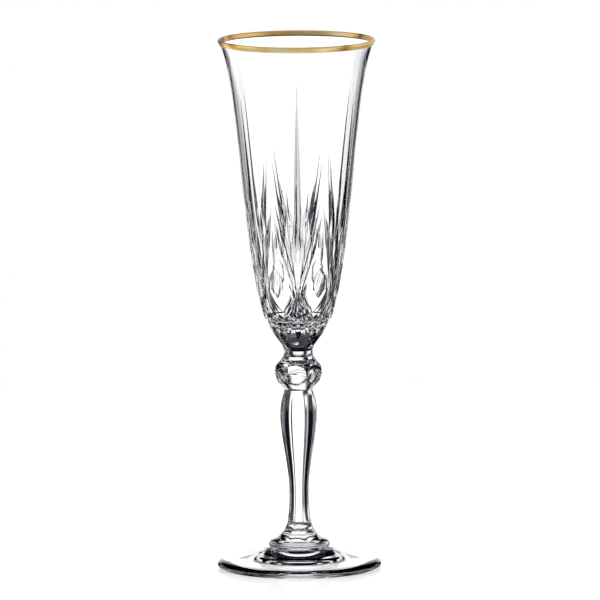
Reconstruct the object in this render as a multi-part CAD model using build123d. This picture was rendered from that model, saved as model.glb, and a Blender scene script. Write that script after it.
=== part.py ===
"""Champagne flute in pressed crystal: a flared bowl with mitre-cut fans and a gilded lip, on a panelled knop, a
panelled baluster stem, a merese and a domed foot.

Millimetres, +Z up, origin at the centre of the face the foot stands on.  The pieces are fused end to end, so
neighbours share a flat face and nothing moves.  Angles are in degrees about Z, from -Y (the front) towards +X.
"""

from build123d import *
import math
import os

# ---- Driving dimensions ------------------------------------------------------------------------------------
HEIGHT = 210.0            # standing face to the top of the gilded lip
FOOT_RADIUS = 32.5
NECK_RADIUS = 5.6         # where the bowl meets the knop
WAIST_RADIUS = 5.6        # where the knop meets the stem
FLARE_RADIUS = 9.1        # the stem's lower end, on the merese
DOME_TOP_RADIUS = 11.4    # the foot's dome, under the merese

NECK_Z = 86.5
WAIST_Z = 70.8
FLARE_Z = 11.2
DOME_TOP_Z = 7.6

# Outlines run upwards as (radius, z).
BOWL_BULB = [(NECK_RADIUS, NECK_Z), (6.4, 88.4), (8.1, 90.8), (9.8, 93.2), (11.1, 95.8), (12.3, 98.8)]
BOWL_OUTSIDE = [(13.2, 99.4), (14.1, 102.0), (15.9, 109.0), (18.0, 121.0), (20.2, 138.0), (22.5, 160.0),
                (24.6, 179.0), (26.2, 191.0), (28.0, 200.8), (29.6, 206.0), (30.27, 207.7)]
BOWL_INSIDE = [(5.2, 96.0), (9.0, 97.6), (11.2, 100.2), (12.7, 104.0), (14.0, 109.5), (16.1, 121.0),
               (18.4, 138.0), (20.9, 160.0), (23.1, 179.0), (24.7, 191.0), (26.6, 200.8), (28.3, 206.0),
               (29.2, 208.4)]
CAVITY_FLOOR_Z = 95.5
LIP_OUTER = (31.0, HEIGHT - 0.9)
LIP_CROWN = (30.25, HEIGHT)
LIP_INNER = (29.5, HEIGHT - 0.9)
GILT_THICKNESS = 0.15

KNOP_OUTSIDE = [(WAIST_RADIUS, WAIST_Z), (6.9, 72.4), (8.5, 74.6), (9.3, 77.6), (8.9, 80.2), (7.2, 82.3),
                (5.9, 84.2), (NECK_RADIUS, NECK_Z)]
KNOP_PANELS = 6
KNOP_TURN = -9.0
KNOP_APOTHEM = 8.2        # flat discs ground on the knop's belly
STEM_OUTSIDE = [(FLARE_RADIUS, FLARE_Z), (6.9, 13.6), (5.3, 16.4), (4.4, 20.6), (3.95, 28.0), (4.2, 35.0),
                (5.2, 42.5), (6.6, 51.0), (7.5, 59.5), (7.1, 66.0), (WAIST_RADIUS, WAIST_Z)]
STEM_PANELS = 8
STEM_TURN = -5.6
STEM_PANEL_SHARE = 0.95   # a panel's distance from the axis, as a share of the outline's radius
MERESE_OUTSIDE = [(DOME_TOP_RADIUS, DOME_TOP_Z), (12.1, 8.8), (11.5, 10.3), (FLARE_RADIUS, FLARE_Z)]

FOOT_DOME = [(18.2, 3.3), (16.9, 4.4), (15.8, 5.8), (13.8, 7.0), (DOME_TOP_RADIUS, DOME_TOP_Z)]
FOOT_PLATE = [(FOOT_RADIUS - 1.3, 2.5), (28.6, 2.9), (24.0, 3.0), FOOT_DOME[0]]
FOOT_RIM_Z = 1.3
STANDING_RING = (25.0, FOOT_RADIUS - 1.1)   # inner and outer radius of the flat face
RECESS_DEPTH = 1.0                          # hollow under the foot, inside the standing ring

# ---- The bowl's cut pattern --------------------------------------------------------------------------------
# Each cut is a V groove between two points on the surface, dipping to its depth and rising again:
# (start angle, start z, end angle, end z, where it is deepest as a share of its run, depth, half-width)
SECTORS = 6
MIDDLE_CUTS = [
    (0.0, 128.0, 0.0, 193.5, 0.22, 0.66, 1.15),    # the fan's long spike
    (0.0, 109.6, 0.0, 98.8, 0.72, 0.70, 0.95),     # middle ray hanging from the zigzag
    (0.0, 98.6, 0.0, 91.2, 0.40, 0.60, 1.35),      # leaf on the bulb, under the spike
    (30.0, 98.6, 30.0, 91.2, 0.40, 0.60, 1.35),    # leaf on the bulb, between two fans
    (30.0, 108.0, 30.0, 122.0, 0.50, 0.60, 2.70),  # lozenge between two fans
]
SIDE_CUTS = [
    (0.9, 110.5, 12.6, 147.5, 0.52, 0.50, 1.00),   # inner petal
    (13.2, 131.0, 25.6, 162.0, 0.36, 0.80, 0.90),  # long blade
    (2.6, 110.2, 28.0, 142.5, 0.50, 0.54, 1.05),   # outer petal
    (18.4, 125.5, 25.0, 136.5, 0.45, 0.62, 0.72),  # small blade
    (0.0, 111.2, 30.4, 98.9, 0.50, 0.55, 0.80),    # zigzag under the fans
    (1.3, 109.4, 10.8, 98.8, 0.72, 0.75, 1.10),    # rays hanging from the zigzag
    (3.5, 108.8, 20.8, 98.8, 0.72, 0.65, 1.00),
    (15.0, 98.5, 15.0, 93.6, 0.35, 0.60, 1.30),    # small leaves on the bulb
]
CUT_STANDOFF = 0.5        # how far a cutter reaches outside the surface


# ---- Helpers -----------------------------------------------------------------------------------------------
def at(radius, angle, z):
    turn = math.radians(angle)
    return Vector(radius * math.sin(turn), -radius * math.cos(turn), z)


def line(start, end):
    return Line((start[0], 0, start[1]), (end[0], 0, end[1]))


def spline(points):
    return Spline(*[(r, 0, z) for r, z in points])


def arc(*points):
    return ThreePointArc(*[(r, 0, z) for r, z in points])


def lathe(*edges):
    """Turns a closed half outline about Z."""
    return revolve(make_face(Wire(edges)), Axis.Z)


def turned(outline):
    """A solid of revolution with flat ends."""
    bottom = (0, outline[0][1])
    top = (0, outline[-1][1])
    return lathe(line(bottom, outline[0]), spline(outline), line(outline[-1], top), line(top, bottom))


def inset(point, distance):
    return (point[0] + distance, point[1])


# ---- Bowl --------------------------------------------------------------------------------------------------
def bowl_radius(z):
    """Radius of the uncut bowl, straight between its outline's points."""
    points = BOWL_BULB + BOWL_OUTSIDE
    for (r0, z0), (r1, z1) in zip(points, points[1:]):
        if z <= z1:
            return r0 + (r1 - r0) * (z - z0) / (z1 - z0)
    return points[-1][0]


def bowl_normal(angle, z):
    slope = (bowl_radius(z + 1) - bowl_radius(z - 1)) / 2
    return (at(1, angle, 0) - Vector(0, 0, slope)).normalized()


def groove(start_angle, start_z, end_angle, end_z, deepest, depth, half_width):
    """The cutter for one V groove: a long five-cornered wedge, deepest at its keel."""
    start = at(bowl_radius(start_z), start_angle, start_z)
    end = at(bowl_radius(end_z), end_angle, end_z)
    along = (end - start).normalized()
    angle = start_angle + (end_angle - start_angle) * deepest
    z = start_z + (end_z - start_z) * deepest
    normal = bowl_normal(angle, z)
    side = normal.cross(along).normalized()
    middle = at(bowl_radius(z), angle, z)
    overrun = (end - start) * (CUT_STANDOFF / depth)
    reach = side * (half_width * (1 + CUT_STANDOFF / depth))
    return ConvexPolyhedron([
        start - overrun * deepest + bowl_normal(start_angle, start_z) * CUT_STANDOFF,
        end + overrun * (1 - deepest) + bowl_normal(end_angle, end_z) * CUT_STANDOFF,
        middle - normal * depth,
        middle + normal * CUT_STANDOFF + reach,
        middle + normal * CUT_STANDOFF - reach,
    ])


def cut_pattern():
    cutters = []
    for sector in range(SECTORS):
        turn = sector * 360 / SECTORS
        cuts = list(MIDDLE_CUTS)
        for a0, z0, a1, z1, *shape in SIDE_CUTS:
            cuts += [(a0, z0, a1, z1, *shape), (-a0, z0, -a1, z1, *shape)]
        for a0, z0, a1, z1, *shape in cuts:
            cutters.append(groove(a0 + turn, z0, a1 + turn, z1, *shape))
    return cutters


def lip_path(offset):
    """The lip from outside to inside, set back by offset."""
    outer = inset(LIP_OUTER, -offset)
    crown = (LIP_CROWN[0], LIP_CROWN[1] - offset)
    inner = inset(LIP_INNER, offset)
    foot_out = inset(BOWL_OUTSIDE[-1], -offset)
    foot_in = inset(BOWL_INSIDE[-1], offset)
    return [line(foot_out, outer), arc(outer, crown, inner), line(inner, foot_in)], foot_out, foot_in


def make_bowl():
    lip, foot_out, foot_in = lip_path(GILT_THICKNESS)
    floor = (0, CAVITY_FLOOR_Z)
    base = (0, NECK_Z)
    blank = lathe(
        line(base, BOWL_BULB[0]),
        spline(BOWL_BULB),
        line(BOWL_BULB[-1], BOWL_OUTSIDE[0]),
        spline(BOWL_OUTSIDE),
        line(BOWL_OUTSIDE[-1], foot_out),
        *lip,
        line(foot_in, BOWL_INSIDE[-1]),
        spline(BOWL_INSIDE[::-1]),
        line(BOWL_INSIDE[0], floor),
        line(floor, base),
    )
    for cutter in cut_pattern():
        blank = blank.cut(cutter)
    return blank


def make_rim_band():
    """Burnished gilding over the lip, in the bowl's shallow step."""
    outside, out_low, in_low = lip_path(0)
    inside, out_seat, in_seat = lip_path(GILT_THICKNESS)
    return lathe(line(out_seat, out_low), *outside, line(in_low, in_seat), *inside)


# ---- Knop, stem, merese, foot ------------------------------------------------------------------------------
def make_knop():
    length = NECK_Z - WAIST_Z
    prism = extrude(RegularPolygon(KNOP_APOTHEM, KNOP_PANELS, major_radius=False), length)
    return turned(KNOP_OUTSIDE) & Pos(0, 0, WAIST_Z) * Rot(0, 0, KNOP_TURN) * prism


def make_stem():
    """A baluster whose panels fade out at both ends."""
    sections = []
    for i, (radius, z) in enumerate(STEM_OUTSIDE):
        end = i in (0, len(STEM_OUTSIDE) - 1)
        apothem = radius * (1.0 if end else STEM_PANEL_SHARE)
        polygon = RegularPolygon(apothem, STEM_PANELS, major_radius=False)
        sections.append(Pos(0, 0, z) * Rot(0, 0, STEM_TURN) * polygon)
    return turned(STEM_OUTSIDE) & loft(sections)


def make_foot():
    top = (0, DOME_TOP_Z)
    recess = (0, RECESS_DEPTH)
    rim = (FOOT_RADIUS, FOOT_RIM_Z)
    ring_in = (STANDING_RING[0], 0)
    ring_out = (STANDING_RING[1], 0)
    halfway = (STANDING_RING[0] / 2, RECESS_DEPTH * 0.75)
    return lathe(
        arc(recess, halfway, ring_in),
        line(ring_in, ring_out),
        arc(ring_out, rim, FOOT_PLATE[0]),
        spline(FOOT_PLATE),
        spline(FOOT_DOME),
        line(FOOT_DOME[-1], top),
        line(top, recess),
    )


os.makedirs("parts", exist_ok=True)
export_step(make_rim_band(), "parts/rim_band.step")
export_step(make_bowl(), "parts/bowl.step")
export_step(make_knop(), "parts/knop.step")
export_step(make_stem(), "parts/baluster_stem.step")
export_step(turned(MERESE_OUTSIDE), "parts/foot_collar.step")
export_step(make_foot(), "parts/foot.step")
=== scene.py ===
import math
from functools import partial

import bmesh
import bpy
import numpy as np
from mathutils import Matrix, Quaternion, Vector


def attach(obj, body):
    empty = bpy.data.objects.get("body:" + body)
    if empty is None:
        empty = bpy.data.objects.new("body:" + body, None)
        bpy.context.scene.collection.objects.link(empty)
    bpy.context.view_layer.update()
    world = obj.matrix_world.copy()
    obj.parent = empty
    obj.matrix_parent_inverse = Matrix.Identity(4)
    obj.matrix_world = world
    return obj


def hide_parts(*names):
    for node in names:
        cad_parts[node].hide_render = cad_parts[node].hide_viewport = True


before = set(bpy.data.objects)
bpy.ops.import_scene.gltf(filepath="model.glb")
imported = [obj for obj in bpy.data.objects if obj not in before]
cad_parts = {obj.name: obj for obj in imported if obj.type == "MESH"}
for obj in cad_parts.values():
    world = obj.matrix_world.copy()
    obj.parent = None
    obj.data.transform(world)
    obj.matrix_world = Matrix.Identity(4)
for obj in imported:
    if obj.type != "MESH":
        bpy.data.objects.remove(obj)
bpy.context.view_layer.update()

MM = 0.001
TURN = 2 * math.pi

# ---- Driving dimensions, in millimetres, the same as the CAD's ---------------------------------------------
FOOT_RADIUS = 32.5
NECK = (5.6, 86.5)
WAIST = (5.6, 70.8)
FLARE = (9.1, 11.2)
DOME_TOP = (11.4, 7.6)

BOWL_BULB = [NECK, (6.4, 88.4), (8.1, 90.8), (9.8, 93.2), (11.1, 95.8), (12.3, 98.8)]
BOWL_OUTSIDE = [(13.2, 99.4), (14.1, 102.0), (15.9, 109.0), (18.0, 121.0), (20.2, 138.0), (22.5, 160.0),
                (24.6, 179.0), (26.2, 191.0), (28.0, 200.8), (29.6, 206.0), (30.27, 207.7)]
BOWL_INSIDE = [(29.2, 208.4), (28.3, 206.0), (26.6, 200.8), (24.7, 191.0), (23.1, 179.0), (20.9, 160.0),
               (18.4, 138.0), (16.1, 121.0), (14.0, 109.5), (12.7, 104.0), (11.2, 100.2), (9.0, 97.6),
               (5.2, 96.0), (0.0, 95.5)]
LIP = [(31.0, 209.1), (30.25, 210.0), (29.5, 209.1)]
GILT = 0.15                   # thickness of the gilding, which the glass under it is set back by
GILT_EASE = 0.08              # how far the wall has already come in at the point next to the gilding
GILT_GAP = 0.02               # air between the gilding and the glass, so that their faces don't coincide

KNOP_OUTSIDE = [WAIST, (6.9, 72.4), (8.5, 74.6), (9.3, 77.6), (8.9, 80.2), (7.2, 82.3), (5.9, 84.2), NECK]
KNOP_APOTHEM = 8.2
KNOP_PANELS = 6
KNOP_TURN = -9.0              # degrees
TERRACE_CENTRE_Z = 71.4       # the knop's arcs are terraces in its panels, round a point low on each
TERRACE_REACH = (1.2, 6.9)
TERRACE_TOP_Z = 79.4
TERRACE_PITCH = 0.95
TERRACE_DEPTH = 0.45
TERRACE_EDGE = 0.93           # they lie where the ball reaches out at least this share of a panel's distance

STEM_OUTSIDE = [FLARE, (6.9, 13.6), (5.3, 16.4), (4.4, 20.6), (3.95, 28.0), (4.2, 35.0), (5.2, 42.5),
                (6.6, 51.0), (7.5, 59.5), (7.1, 66.0), WAIST]
STEM_PANELS = 8
STEM_TURN = -5.6              # degrees
STEM_SHARE = 0.95             # a panel's distance from the axis, as a share of the round stem's radius
STEM_HOLLOW = 0.02
STEM_FADE = (6.0, 2.5)        # height over which the panels fade out, at the flare and at the waist
STEM_ARRIS = 0.00003          # softens the edge between panel and round

MERESE_OUTSIDE = [DOME_TOP, (12.1, 8.8), (11.5, 10.3), FLARE]
FOOT_DOME = [(18.2, 3.3), (16.9, 4.4), (15.8, 5.8), (13.8, 7.0), DOME_TOP]
FOOT_RING_IN = (25.0, 0.0)    # the flat ring that the glass stands on
FOOT_RING_OUT = (FOOT_RADIUS - 1.1, 0.0)
FOOT_RECESS = [(4.0, 0.99), (12.5, 0.75), FOOT_RING_IN]
FOOT_RECESS_CENTRE = (0.0, 1.0)
FOOT_PLATE = [FOOT_RING_OUT, (32.3, 0.7), (FOOT_RADIUS, 1.3), (32.1, 2.0), (30.9, 2.6), (28.6, 2.9),
              (24.0, 3.0), (20.0, 3.1)]

SEGMENTS = 180                # round most pieces
KNOP_SEGMENTS = 400
STEM_SEGMENTS = 240

# ---- The cut pattern: angles in degrees from the middle of a fan, positive to the right --------------------
SECTORS = 6
SECTOR_DEG = 60.0
# Start (angle, z), end (angle, z), where deepest, depth, half-width to the right, half-width to the left, and
# taper.  Right and left are as seen from outside, looking from start to end.  Each is also cut mirrored about
# the fan's middle.
SIDE_CUTS = [
    ((0.9, 110.5), (12.6, 147.5), 0.52, 0.50, 0.75, 1.36, 2.0),      # inner petal
    ((14.2, 131.0), (26.0, 166.0), 0.34, 0.36, 0.60, 1.10, 1.2),     # long blade
    ((15.4, 131.5), (20.6, 151.0), 0.42, 0.98, 0.35, 1.35, 1.6),     # the long blade's dark part
    ((2.6, 110.2), (28.0, 142.5), 0.50, 0.54, 0.80, 1.48, 2.0),      # outer petal
    ((18.8, 125.0), (24.6, 136.5), 0.45, 0.80, 0.35, 1.10, 1.6),     # small blade
    ((4.6, 106.5), (11.5, 115.5), 0.50, 0.40, 0.70, 0.70, 2.0),      # thorn
    ((0.0, 111.2), (30.4, 98.9), 0.50, 0.55, 1.00, 0.60, 2.0),       # zigzag
    ((1.3, 109.4), (10.8, 98.8), 0.72, 0.85, 1.50, 0.45, 1.5),       # fan hanging from the zigzag
    ((3.5, 108.8), (20.8, 98.8), 0.72, 0.85, 1.40, 0.45, 1.5),       # its outer ray
    ((15.0, 98.5), (15.0, 93.6), 0.35, 0.60, 1.30, 1.30, 1.5),       # leaves on the bulb
]
# The same, but on or near the middle of a fan, or of the space between two, and not mirrored.
MIDDLE_CUTS = [
    ((0.0, 128.0), (0.0, 193.5), 0.22, 0.64, 1.52, 0.48, 1.35),      # the fan's long spike
    ((-1.2, 127.0), (-0.6, 157.0), 0.34, 0.98, 0.35, 1.35, 1.5),     # the spike's dark side
    ((1.6, 127.5), (1.2, 139.0), 0.45, 0.85, 1.15, 0.35, 1.6),       # the dark foot of its other side
    ((0.0, 109.6), (0.0, 98.8), 0.72, 0.70, 0.95, 0.95, 1.5),        # middle ray of the hanging fan
    ((0.0, 98.6), (0.0, 91.2), 0.40, 0.60, 1.35, 1.35, 1.5),         # leaf on the bulb, under the spike
    ((30.0, 98.6), (30.0, 91.2), 0.40, 0.60, 1.35, 1.35, 1.5),       # leaf on the bulb, between two fans
    ((30.0, 121.6), (30.0, 137.0), 0.35, 0.30, 0.80, 0.80, 1.5),     # spike over the lozenge
]
SPINDLE_STATIONS = 14
SPINDLE_LID = 0.14            # how far a cutter stands proud of the wall
NEAR_END_TAPER = 2.0          # a cut is always leaf-shaped at its start
TANGENT_STEP = 0.01           # share of a cut's length that its direction is taken over
SLOPE_REACH = 1.2             # height either side that the wall's slope is taken over

LOZENGE_ANGLE = 30.0
LOZENGE_Z = (108.8, 121.4)
LOZENGE_HALF_WIDTH = 2.7
LOZENGE_DEPTH = 0.40
LOZENGE_LID = 0.5
LOZENGE_FLOOR_SIZE, LOZENGE_LID_SIZE = 0.8, 1.25
LOZENGE_SHOULDER = 0.42       # height of its side corners, as a share of half its length


# ---- Curves and lathes -------------------------------------------------------------------------------------
def inset(point, dx, dz=0.0):
    return (point[0] + dx, point[1] + dz)


def blend(a, b, ta, tb, t):
    return (tb - t) / (tb - ta) * a + (t - ta) / (tb - ta) * b


def smooth(points, step):
    """A centripetal Catmull-Rom curve through points, with a point about every step millimetres."""
    pts = [np.array(p, float) for p in points]
    pts = [2 * pts[0] - pts[1]] + pts + [2 * pts[-1] - pts[-2]]
    out = []
    for a, b, c, d in zip(pts, pts[1:], pts[2:], pts[3:]):
        ta = 0.0
        tb = ta + np.linalg.norm(b - a) ** 0.5
        tc = tb + np.linalg.norm(c - b) ** 0.5
        td = tc + np.linalg.norm(d - c) ** 0.5
        count = max(2, round(np.linalg.norm(c - b) / step))
        for k in range(count):
            t = tb + (tc - tb) * k / count
            middle = blend(b, c, tb, tc, t)
            before = blend(blend(a, b, ta, tb, t), middle, ta, tc, t)
            after = blend(middle, blend(c, d, tc, td, t), tb, td, t)
            out.append(tuple(blend(before, after, tb, tc, t)))
    out.append(tuple(points[-1]))
    return out


def arc(p, q, r, steps=12):
    """Points from p to r on the circle through p, q, r."""
    (ax, ay), (bx, by), (cx, cy) = p, q, r
    twice_area = 2 * (ax * (by - cy) + bx * (cy - ay) + cx * (ay - by))
    aa, bb, cc = ax**2 + ay**2, bx**2 + by**2, cx**2 + cy**2
    x0 = (aa * (by - cy) + bb * (cy - ay) + cc * (ay - by)) / twice_area
    y0 = (aa * (cx - bx) + bb * (ax - cx) + cc * (bx - ax)) / twice_area
    start, through, end = (math.atan2(v - y0, u - x0) for u, v in (p, q, r))
    radius = math.hypot(ax - x0, ay - y0)
    sweep = ((through - start + math.pi) % TURN - math.pi) + ((end - through + math.pi) % TURN - math.pi)
    angles = [start + sweep * k / steps for k in range(steps + 1)]
    return [(x0 + radius * math.cos(angle), y0 + radius * math.sin(angle)) for angle in angles]


def make_object(name, verts, faces):
    mesh = bpy.data.meshes.new(name)
    mesh.from_pydata(verts, [], faces)
    mesh.update()
    obj = bpy.data.objects.new(name, mesh)
    bpy.context.scene.collection.objects.link(obj)
    return obj


def band_between(low, high, segments):
    """Faces between two rows of vertices, either of which may be a single point on the axis."""
    faces = []
    for k in range(segments):
        n = (k + 1) % segments
        if len(low) == 1:
            faces.append((low[0], high[n], high[k]))
        elif len(high) == 1:
            faces.append((low[k], low[n], high[0]))
        else:
            faces.append((low[k], low[n], high[n], high[k]))
    return faces


def lathe(name, outline, segments, reshape=None, ring=False):
    """Turns an outline of (radius, z) into a closed mesh.  Angle 0 faces -Y.  reshape(radius, angle, z) gives
    the radius of a piece that isn't quite round.  ring closes the outline on itself."""
    verts, rows = [], []
    for radius, z in outline:
        if radius < 1e-6:
            rows.append([len(verts)])
            verts.append((0, 0, z * MM))
            continue
        row = []
        for k in range(segments):
            angle = TURN * k / segments
            r = reshape(radius, angle, z) if reshape else radius
            row.append(len(verts))
            verts.append((r * math.sin(angle) * MM, -r * math.cos(angle) * MM, z * MM))
        rows.append(row)
    pairs = list(zip(rows, rows[1:])) + ([(rows[-1], rows[0])] if ring else [])
    faces = [face for low, high in pairs for face in band_between(low, high, segments)]
    return make_object(name, verts, faces)


# ---- Bowl --------------------------------------------------------------------------------------------------
bulb = smooth(BOWL_BULB, 0.8)
under_gilding = [inset(BOWL_OUTSIDE[-2], -GILT_EASE), inset(BOWL_OUTSIDE[-1], -GILT)]
outside = smooth(BOWL_OUTSIDE[:-2] + under_gilding, 1.6)
inside = smooth([inset(BOWL_INSIDE[0], GILT), inset(BOWL_INSIDE[1], GILT_EASE)] + BOWL_INSIDE[2:], 1.6)
wall_r, wall_z = np.array(bulb + outside).T


def bowl_radius(z):
    return float(np.interp(z, wall_z, wall_r))


def bowl_point(angle, z, lift=0.0):
    """A point on the uncut bowl, lifted along its outward normal.  angle is in radians."""
    slope = (bowl_radius(z + SLOPE_REACH) - bowl_radius(z - SLOPE_REACH)) / (2 * SLOPE_REACH)
    length = math.hypot(1, slope)
    r = bowl_radius(z) + lift / length
    return Vector((r * math.sin(angle), -r * math.cos(angle), z - lift * slope / length))


def chord(start, end, share):
    """(angle in radians, z) that share of the way along the straight line between two places on the bowl."""
    first, last = (bowl_point(math.radians(angle), z) for angle, z in (start, end))
    p = first.lerp(last, share)
    return math.atan2(p.x, -p.y), p.z


def spindle(start, end, deepest, depth, right, left, taper):
    """Vertices and faces of the cutter for one mitre cut: a V whose keel dips to depth at the share deepest
    of the way, with side widths right and left there, as seen from outside looking along the cut.  taper
    shapes the run towards the end: 2 is leaf-shaped and 1 is straight."""
    verts = []
    for k in range(SPINDLE_STATIONS + 1):
        share = -1 + 2 * k / SPINDLE_STATIONS
        power = taper if share > 0 else NEAR_END_TAPER
        reach = abs(share) * (1 + SPINDLE_LID / depth) ** (1 / power)
        here = depth * (1 - reach ** power)
        along_cut = deepest - reach * deepest if share < 0 else deepest + reach * (1 - deepest)
        angle, z = chord(start, end, along_cut)
        base = bowl_point(angle, z)
        normal = (bowl_point(angle, z, 1.0) - base).normalized()
        ahead = bowl_point(*chord(start, end, along_cut + TANGENT_STEP))
        side = (ahead - base).normalized().cross(normal).normalized()
        top = base + normal * SPINDLE_LID
        grow = (here + SPINDLE_LID) / depth
        if k in (0, SPINDLE_STATIONS):
            verts.append(top)
        else:
            verts += [base - normal * here, top + side * right * grow, top - side * left * grow]
    return verts, spindle_faces(len(verts) - 1)


def spindle_faces(last):
    """Faces over one tip, triangles of vertices in threes, and the other tip, whose number is last."""
    faces = []
    for i in range(1, last - 3, 3):
        j = i + 3
        faces += [(i, i + 1, j + 1, j), (i + 1, i + 2, j + 2, j + 1), (i + 2, i, j, j + 2)]
    e = last - 3
    return faces + [(0, 2, 1), (0, 3, 2), (0, 1, 3), (last, e, e + 1), (last, e + 1, e + 2), (last, e + 2, e)]


def mitre(cut, mirrored, turn):
    """The cutter for one row of SIDE_CUTS or MIDDLE_CUTS, turned round the bowl by turn degrees."""
    (start_angle, start_z), (end_angle, end_z), deepest, depth, right, left, taper = cut
    if mirrored:
        start_angle, end_angle, right, left = -start_angle, -end_angle, left, right
    start, end = (start_angle + turn, start_z), (end_angle + turn, end_z)
    return spindle(start, end, deepest, depth, right, left, taper)


def lozenge(turn):
    """Vertices and faces of a lozenge-shaped cutter with a flat floor and steep sides."""
    verts = []
    low, high = LOZENGE_Z
    middle_z = (low + high) / 2
    radius = bowl_radius(middle_z)
    corners = ((0, -1), (1, -LOZENGE_SHOULDER), (1, LOZENGE_SHOULDER),
               (0, 1), (-1, LOZENGE_SHOULDER), (-1, -LOZENGE_SHOULDER))
    for lift, grow in ((-LOZENGE_DEPTH, LOZENGE_FLOOR_SIZE), (LOZENGE_LID, LOZENGE_LID_SIZE)):
        for across, up in corners:
            z = middle_z + up * grow * (high - low) / 2
            angle = math.radians(LOZENGE_ANGLE + turn) + across * LOZENGE_HALF_WIDTH * grow / radius
            verts.append(bowl_point(angle, z, lift))
    faces = [(5, 4, 3, 2, 1, 0), (6, 7, 8, 9, 10, 11)]
    faces += [(k, (k + 1) % 6, 6 + (k + 1) % 6, 6 + k) for k in range(6)]
    return verts, faces


def cutter_ring(shape):
    """One object with shape(turn) repeated in every sector, so that its own shells don't overlap."""
    verts, faces = [], []
    for sector in range(SECTORS):
        points, polygons = shape(sector * SECTOR_DEG)
        base = len(verts)
        verts.extend(tuple(v * MM) for v in points)
        faces.extend(tuple(base + i for i in polygon) for polygon in polygons)
    obj = make_object("cutter", verts, faces)
    outward_faces(obj)
    return obj


def outward_faces(obj):
    """Turns every shell's faces outward."""
    bm = bmesh.new()
    bm.from_mesh(obj.data)
    bmesh.ops.recalc_face_normals(bm, faces=bm.faces)
    bm.to_mesh(obj.data)
    bm.free()


def combine(obj, other, operation):
    """Applies a boolean to obj and removes other."""
    mod = obj.modifiers.new("combine", "BOOLEAN")
    mod.operation = operation
    mod.solver = "MANIFOLD"
    mod.object = other
    graph = bpy.context.evaluated_depsgraph_get()
    mesh = bpy.data.meshes.new_from_object(obj.evaluated_get(graph))
    obj.modifiers.clear()
    obj.data = mesh
    bpy.data.objects.remove(other)


# ---- Normals of the cut bowl -------------------------------------------------------------------------------
SHARP_EDGE = 22.0             # degrees, where the cuts' facets meet
OUTLINE_CREASE = 25.0         # degrees, where the outline itself has a corner
TURNED_TILT = 8.0             # degrees that a face of the turned wall may lean from the outline's normal
ON_WALL = 0.03                # millimetres from the outline that still count as on it


def read(items, attribute, width, kind=float):
    values = np.empty(len(items) * width, kind)
    items.foreach_get(attribute, values)
    return values.reshape(-1, width) if width > 1 else values


def flat_rz(points):
    return np.stack([np.hypot(points[:, 0], points[:, 1]), points[:, 2]], 1)


class Outline:
    """Runs of a turned outline, with the normal at each end of each run smoothed over all but its corners."""

    def __init__(self, points):
        line = np.array([p for p, q in zip(points, points[1:]) if math.dist(p, q) > 1e-6] + [points[-1]])
        self.start, self.run = line[:-1], line[1:] - line[:-1]
        self.length = np.linalg.norm(self.run, axis=1)
        self.normal = np.stack([self.run[:, 1], -self.run[:, 0]], 1) / self.length[:, None]
        before, after = self.normal[:-1], self.normal[1:]
        joined = np.einsum("ij,ij->i", before, after) > math.cos(math.radians(OUTLINE_CREASE))
        middle = before + after
        middle /= np.linalg.norm(middle, axis=1)[:, None]
        self.first, self.last = self.normal.copy(), self.normal.copy()
        self.first[1:][joined] = middle[joined]
        self.last[:-1][joined] = middle[joined]

    def nearest(self, rz):
        """Distance to the outline and number of the nearest run, for each (radius, z)."""
        best, where = np.full(len(rz), 1e9), np.zeros(len(rz), int)
        for i, (start, run, length) in enumerate(zip(self.start, self.run, self.length)):
            t = np.clip((rz - start) @ run / length ** 2, 0, 1)
            distance = np.linalg.norm(rz - start - t[:, None] * run, axis=1)
            closer = distance < best
            best[closer], where[closer] = distance[closer], i
        return best, where

    def normal_at(self, rz, runs):
        """The smoothed normal at each (radius, z), which lies on the run of that number."""
        t = np.einsum("ij,ij->i", rz - self.start[runs], self.run[runs]) / self.length[runs] ** 2
        t = np.clip(t, 0, 1)[:, None]
        normal = self.first[runs] * (1 - t) + self.last[runs] * t
        return normal / np.linalg.norm(normal, axis=1)[:, None]


def polish_normals(obj, points):
    """Exact normals where the surface is still the turned outline; elsewhere smooth up to SHARP_EDGE."""
    mesh, outline = obj.data, Outline(points)
    mesh.shade_smooth()
    mesh.set_sharp_from_angle(angle=math.radians(SHARP_EDGE))
    normals = read(mesh.corner_normals, "vector", 3)
    co = read(mesh.vertices, "co", 3) / MM
    centre = read(mesh.polygons, "center", 3) / MM
    face_normal = read(mesh.polygons, "normal", 3)
    corners = read(mesh.polygons, "loop_total", 1, int)
    vertex = read(mesh.loops, "vertex_index", 1, int)

    rz = flat_rz(co)
    on_wall = outline.nearest(rz)[0] < ON_WALL
    face_off, face_run = outline.nearest(flat_rz(centre))
    face = np.repeat(np.arange(len(corners)), corners)
    whole = np.bincount(face, weights=~on_wall[vertex], minlength=len(corners)) == 0
    radial = centre[:, :2] / np.maximum(np.hypot(centre[:, 0], centre[:, 1]), 1e-9)[:, None]
    wanted = outline.normal[face_run]
    lean = np.einsum("ij,ij->i", face_normal[:, :2], radial) * wanted[:, 0] + face_normal[:, 2] * wanted[:, 1]
    turned = whole & (face_off < 2 * ON_WALL) & (lean > math.cos(math.radians(TURNED_TILT)))

    mine = turned[face] & (rz[vertex, 0] > 1e-6)
    at = vertex[mine]
    exact = outline.normal_at(rz[at], face_run[face[mine]])
    unit = co[at, :2] / rz[at, :1]
    normals[mine] = np.concatenate([unit * exact[:, :1], exact[:, 1:]], 1)
    normals /= np.maximum(np.linalg.norm(normals, axis=1), 1e-9)[:, None]
    mesh.normals_split_custom_set(normals.tolist())


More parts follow.
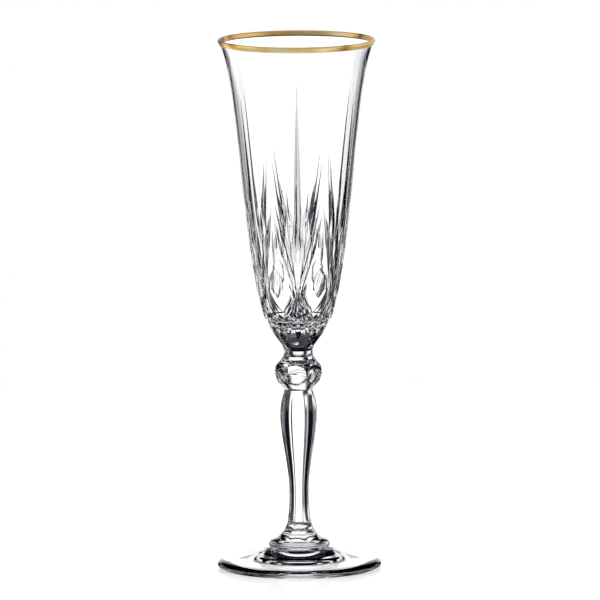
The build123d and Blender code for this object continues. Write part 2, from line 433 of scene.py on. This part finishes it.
crown = inset(LIP[1], 0.0, -GILT)
lip = arc(inset(LIP[0], -GILT), crown, inset(LIP[2], GILT))
bowl_outline = [(0.0, NECK[1])] + bulb + outside + lip + inside
bowl = lathe("flute_bowl", bowl_outline, SEGMENTS)
shapes = [lozenge] + [partial(mitre, cut, False) for cut in MIDDLE_CUTS]
shapes += [partial(mitre, cut, mirrored) for cut in SIDE_CUTS for mirrored in (False, True)]
cutter, *others = [cutter_ring(shape) for shape in shapes]
for other in others:
    combine(cutter, other, "UNION")
outward_faces(bowl)
combine(bowl, cutter, "DIFFERENCE")
polish_normals(bowl, bowl_outline)

# ---- Rim, knop, stem, merese, foot -------------------------------------------------------------------------
seat = arc(inset(LIP[0], GILT_GAP - GILT), inset(crown, 0.0, GILT_GAP), inset(LIP[2], GILT - GILT_GAP))
band_outline = ([inset(BOWL_OUTSIDE[-1], GILT_GAP - GILT), BOWL_OUTSIDE[-1]] + arc(*LIP)
                + [BOWL_INSIDE[0], inset(BOWL_INSIDE[0], GILT - GILT_GAP)] + seat[::-1])
band = lathe("flute_rim_band", band_outline, SEGMENTS, ring=True)


def panel_angle(angle, panels, turn):
    """Angle from the nearest panel's middle."""
    step = TURN / panels
    return (angle - math.radians(turn) + step / 2) % step - step / 2


def knop_shape(radius, angle, z):
    """The ball cut back to six flat panels, with terraces in their lower part; round at its two joints."""
    if radius <= NECK[0] + 0.01 and (z < WAIST[1] + 0.01 or z > NECK[1] - 0.01):
        return radius
    off = panel_angle(angle, KNOP_PANELS, KNOP_TURN)
    flat = KNOP_APOTHEM / math.cos(off)
    r = min(radius, flat)
    reach = math.hypot(flat * math.sin(off), z - TERRACE_CENTRE_Z)
    nearest, furthest = TERRACE_REACH
    if radius > flat * TERRACE_EDGE and nearest < reach < furthest and z < TERRACE_TOP_Z:
        r -= TERRACE_DEPTH * ((reach / TERRACE_PITCH) % 1.0)
    return r


def stem_shape(radius, angle, z):
    """The round stem cut to eight slightly hollow panels, which fade out towards its ends."""
    low_fade, high_fade = STEM_FADE
    fade = min(1.0, (z - FLARE[1]) / low_fade, (WAIST[1] - z) / high_fade)
    off = panel_angle(angle, STEM_PANELS, STEM_TURN)
    flat = STEM_SHARE / math.cos(off)
    flat -= STEM_HOLLOW * (1 - (off * STEM_PANELS / math.pi) ** 2)
    soft = 0.5 * (1 + flat - math.sqrt((1 - flat) ** 2 + STEM_ARRIS))
    return radius * (1 + (min(1.0, soft) - 1) * max(0.0, fade))


def capped(outline):
    return [(0.0, outline[0][1])] + outline + [(0.0, outline[-1][1])]


knop = lathe("flute_knop", capped(smooth(KNOP_OUTSIDE, 0.12)), KNOP_SEGMENTS, knop_shape)
stem = lathe("flute_stem", capped(smooth(STEM_OUTSIDE, 0.7)), STEM_SEGMENTS, stem_shape)
collar = lathe("flute_collar", capped(smooth(MERESE_OUTSIDE, 0.3)), SEGMENTS)
foot_outline = ([FOOT_RECESS_CENTRE] + smooth(FOOT_RECESS, 1.5) + smooth(FOOT_PLATE, 0.5)
                + smooth(FOOT_DOME, 0.5) + [(0.0, DOME_TOP[1])])
foot = lathe("flute_foot", foot_outline, SEGMENTS)

TURNED_EDGE = math.radians(28)
for obj in (band, knop, stem, collar, foot):
    outward_faces(obj)
    obj.data.shade_smooth()
    obj.data.set_sharp_from_angle(angle=TURNED_EDGE)


# ---- Materials ---------------------------------------------------------------------------------------------
GLASS_IOR = 1.53
GLASS_TINT = (0.996, 1.0, 1.0, 1)
# Stops of the gold's colour: a painted dark reflection, a painted pale highlight, and the gold's own colour
# between them.
GOLD_AND_PAINTED_REFLECTION_RAMP = ((0.40, (0.16, 0.08, 0.02, 1)), (0.62, (1.0, 0.84, 0.44, 1)), (0.49, (1.0, 0.62, 0.17, 1)))


def set_inputs(node, values):
    for name, value in values.items():
        node.inputs[name].default_value = value


def material(name):
    mat = bpy.data.materials.new(name)
    mat.use_nodes = True
    nodes, links = mat.node_tree.nodes, mat.node_tree.links
    return mat, nodes, links, nodes["Principled BSDF"]


def crystal(name):
    """Clear glass with a faint ripple and faint uneven polish."""
    mat, nodes, links, bsdf = material(name)
    set_inputs(bsdf, {"Base Color": GLASS_TINT, "Transmission Weight": 1.0, "IOR": GLASS_IOR})
    coords = nodes.new("ShaderNodeTexCoord")
    wave = nodes.new("ShaderNodeTexNoise")
    set_inputs(wave, {"Scale": 90.0, "Detail": 1.5})
    bump = nodes.new("ShaderNodeBump")
    set_inputs(bump, {"Strength": 0.02, "Distance": 0.001})
    links.new(coords.outputs["Object"], wave.inputs["Vector"])
    links.new(wave.outputs["Fac"], bump.inputs["Height"])
    links.new(bump.outputs["Normal"], bsdf.inputs["Normal"])
    smear = nodes.new("ShaderNodeTexNoise")
    set_inputs(smear, {"Scale": 40.0})
    rough = nodes.new("ShaderNodeMapRange")
    set_inputs(rough, {"To Min": 0.0, "To Max": 0.03})
    links.new(coords.outputs["Object"], smear.inputs["Vector"])
    links.new(smear.outputs["Fac"], rough.inputs["Value"])
    links.new(rough.outputs["Result"], bsdf.inputs["Roughness"])
    return mat


def joint_material():
    """The fused faces between two pieces, which aren't there to be seen."""
    mat, nodes, links, bsdf = material("fused_joint")
    clear = nodes.new("ShaderNodeBsdfTransparent")
    links.new(clear.outputs["BSDF"], nodes["Material Output"].inputs["Surface"])
    nodes.remove(bsdf)
    return mat


def gold():
    """Burnished gilding, rougher in patches, with dark reflections and pale highlights painted into its
    colour in patches.
    """
    mat, nodes, links, bsdf = material("burnished_gold")
    set_inputs(bsdf, {"Metallic": 0.5})
    coords = nodes.new("ShaderNodeTexCoord")
    noise = nodes.new("ShaderNodeTexNoise")
    set_inputs(noise, {"Scale": 48.0, "Detail": 4.0})
    # The colour ramp paints dark reflections and pale highlights in patches over the gold.
    colour = nodes.new("ShaderNodeValToRGB")
    stops = colour.color_ramp.elements
    (dark_reflection_at, painted_dark_reflection), (highlight_at, painted_highlight), (middle_at, middle_gold) = GOLD_AND_PAINTED_REFLECTION_RAMP
    stops[0].position, stops[0].color = dark_reflection_at, painted_dark_reflection
    stops[1].position, stops[1].color = highlight_at, painted_highlight
    stops.new(middle_at).color = middle_gold
    rough = nodes.new("ShaderNodeMapRange")
    set_inputs(rough, {"To Min": 0.26, "To Max": 0.42})
    bump = nodes.new("ShaderNodeBump")
    set_inputs(bump, {"Strength": 0.15, "Distance": 0.0005})
    links.new(coords.outputs["Object"], noise.inputs["Vector"])
    links.new(noise.outputs["Fac"], colour.inputs["Fac"])
    links.new(colour.outputs["Color"], bsdf.inputs["Base Color"])
    links.new(noise.outputs["Fac"], rough.inputs["Value"])
    links.new(rough.outputs["Result"], bsdf.inputs["Roughness"])
    links.new(noise.outputs["Fac"], bump.inputs["Height"])
    links.new(bump.outputs["Normal"], bsdf.inputs["Normal"])
    return mat


glass = crystal("cut_crystal")
joint = joint_material()
gilding = gold()


def fused_faces(obj, levels):
    """Gives the flat faces at these heights the joint's material."""
    obj.data.materials.append(joint)
    for poly in obj.data.polygons:
        z = poly.center.z / MM
        if abs(poly.normal.z) > 0.999 and any(abs(z - level) < 0.01 for level in levels):
            poly.material_index = 1


for obj, node, levels in (
    (bowl, "bowl", [NECK[1]]),
    (knop, "knop", [NECK[1], WAIST[1]]),
    (stem, "baluster_stem", [WAIST[1], FLARE[1]]),
    (collar, "foot_collar", [FLARE[1], DOME_TOP[1]]),
    (foot, "foot", [DOME_TOP[1]]),
):
    obj.data.materials.clear()
    obj.data.materials.append(glass)
    fused_faces(obj, levels)
    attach(obj, "root")
    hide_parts(node)
band.data.materials.append(gilding)
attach(band, "root")
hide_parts("rim_band")

# ---- Floor -------------------------------------------------------------------------------------------------
scene = bpy.context.scene
FLOOR_RADIUS = 0.5            # metres, as are the floor's height and the camera's numbers
FLOOR_Z = -0.0002
FLOOR_SIDES = 96
corners = [TURN * k / FLOOR_SIDES for k in range(FLOOR_SIDES)]
rim = [(FLOOR_RADIUS * math.cos(angle), FLOOR_RADIUS * math.sin(angle), FLOOR_Z) for angle in corners]
floor_mesh = bpy.data.meshes.new("floor")
floor_mesh.from_pydata(rim, [], [tuple(range(FLOOR_SIDES))])
floor = bpy.data.objects.new("floor", floor_mesh)
scene.collection.objects.link(floor)
floor_material, _, _, floor_bsdf = material("floor")
set_inputs(floor_bsdf, {
    "Base Color": (0.95, 0.95, 0.95, 1),
    "Roughness": 0.12,
    "Specular IOR Level": 0.25,
    "Emission Color": (1, 1, 1, 1),
    "Emission Strength": 0.35,
})
floor_mesh.materials.append(floor_material)
floor.visible_transmission = False    # seen through the glass, the floor would be grey bands in the stem
floor.visible_glossy = False

# ---- Light: white to the camera and to matt surfaces, bright cards on black to the glass -------------------
world = bpy.data.worlds.new("studio")
scene.world = world
world.use_nodes = True
world_nodes, world_links = world.node_tree.nodes, world.node_tree.links
world_nodes.clear()


def feed(socket, value):
    """Links value to the socket if it is an output, and otherwise sets it."""
    if hasattr(value, "is_linked"):
        world_links.new(value, socket)
    else:
        socket.default_value = value


def maths(kind, *values):
    node = world_nodes.new("ShaderNodeMath")
    node.operation = kind
    for socket, value in zip(node.inputs, values):
        feed(socket, value)
    return node.outputs[0]


def colour_mix(factor, first, second, clamped=True):
    node = world_nodes.new("ShaderNodeMix")
    node.data_type = "RGBA"
    node.clamp_factor = clamped
    feed(node.inputs["Factor"], factor)
    feed(node.inputs[6], first)       # the colour sockets A and B, and below the colour result
    feed(node.inputs[7], second)
    return node.outputs[2]


direction = world_nodes.new("ShaderNodeTexCoord")
split = world_nodes.new("ShaderNodeSeparateXYZ")
world_links.new(direction.outputs["Generated"], split.inputs[0])
x, y, z = split.outputs
level = maths("SQRT", maths("ADD", maths("MULTIPLY", x, x), maths("MULTIPLY", y, y)))


def edge(value, limit, soft, rising):
    """0 to 1 across a soft limit if rising, otherwise 1 to 0."""
    node = world_nodes.new("ShaderNodeMapRange")
    node.interpolation_type = "SMOOTHSTEP"
    world_links.new(value, node.inputs["Value"])
    set_inputs(node, {
        "From Min": limit - soft,
        "From Max": limit + soft,
        "To Min": 0.0 if rising else 1.0,
        "To Max": 1.0 if rising else 0.0,
    })
    return node.outputs[0]


def card(azimuth, half_width, low, high, soft):
    """1 inside a bright card seen in that direction, 0 outside, in degrees.  Azimuth 0 is +Y, the way the
    camera looks, and low and high are its elevations."""
    a, blur = math.radians(azimuth), math.radians(soft)
    towards = maths("ADD", maths("MULTIPLY", x, math.sin(-a)), maths("MULTIPLY", y, math.cos(-a)))
    cosine = maths("DIVIDE", towards, maths("MAXIMUM", level, 1e-4))
    off = maths("ARCCOSINE", maths("MINIMUM", cosine, 1.0))
    rise = maths("ARCSINE", z)
    across = edge(off, math.radians(half_width), blur, False)
    above = edge(rise, math.radians(low), blur, True)
    below = edge(rise, math.radians(high), blur, False)
    return maths("MULTIPLY", across, maths("MULTIPLY", above, below))


# azimuth, half width, low, high, power, softness of the edges
CARDS = [
    (0, 15, -31, 13, 1.28, 5.0),
    (90, 12, -25, 22, 1.1, 4.0),
    (90, 32, -3, 34, 1.0, 4.0),
    (270, 34, -3, 34, 1.0, 4.0),
    (36, 2, -20, 12, 0.9, 1.5),
    (324, 2, -20, 12, 0.9, 1.5),
    (31, 1.0, -20, 12, 0.8, 1.5),
    (68, 42, 6, 20, 0.95, 3.0),
    (292, 42, 6, 20, 0.95, 3.0),
    (45, 14, -44, -14, 1.2, 4.0),
    (225, 14, -44, -7, 1.2, 4.0),
]
CARD_DARK = (0.004, 0.005, 0.012, 1)
CARD_WHITE = (1.0, 1.0, 1.02, 1)
WHITE = (1.0, 1.0, 1.0, 1)
FLOOR_LIGHT = (-0.82, -0.92)  # z of a direction where the light from below starts, and where it is full
total = None
for azimuth, half_width, low, high, power, soft in CARDS:
    lit = maths("MULTIPLY", card(azimuth, half_width, low, high, soft), power)
    total = lit if total is None else maths("MAXIMUM", total, lit)
under = world_nodes.new("ShaderNodeMapRange")
world_links.new(z, under.inputs["Value"])
set_inputs(under, {"From Min": FLOOR_LIGHT[0], "From Max": FLOOR_LIGHT[1]})
total = maths("MAXIMUM", total, under.outputs[0])

path = world_nodes.new("ShaderNodeLightPath")
either = maths("MAXIMUM", path.outputs["Is Camera Ray"], path.outputs["Is Diffuse Ray"])
studio = colour_mix(total, CARD_DARK, CARD_WHITE, clamped=False)
background = world_nodes.new("ShaderNodeBackground")
feed(background.inputs["Color"], colour_mix(either, studio, WHITE))
feed(background.inputs["Strength"], 1.0)
output = world_nodes.new("ShaderNodeOutputWorld")
world_links.new(background.outputs[0], output.inputs["Surface"])
scene.view_settings.view_transform = "Standard"
scene.view_settings.look = "None"

# ---- Camera ------------------------------------------------------------------------------------------------
CAMERA_DISTANCE = 4.0
CAMERA_HEIGHT = 0.66
TARGET = Vector((0.0008, 0.0, 0.1063))
LEAN = math.radians(-0.33)
FRAME_WIDTH = 0.2368
SENSOR = 36.0                 # millimetres
camera_data = bpy.data.cameras.new("camera")
camera = bpy.data.objects.new("camera", camera_data)
scene.collection.objects.link(camera)
scene.camera = camera
camera.location = Vector((0.0, -CAMERA_DISTANCE, CAMERA_HEIGHT))
aim = (TARGET - camera.location).to_track_quat("-Z", "Y")
camera.rotation_euler = (aim @ Quaternion((0, 0, 1), LEAN)).to_euler()
camera_data.sensor_width = SENSOR
camera_data.lens = SENSOR * (TARGET - camera.location).length / FRAME_WIDTH
camera_data.clip_start = 0.1
camera_data.clip_end = 50.0
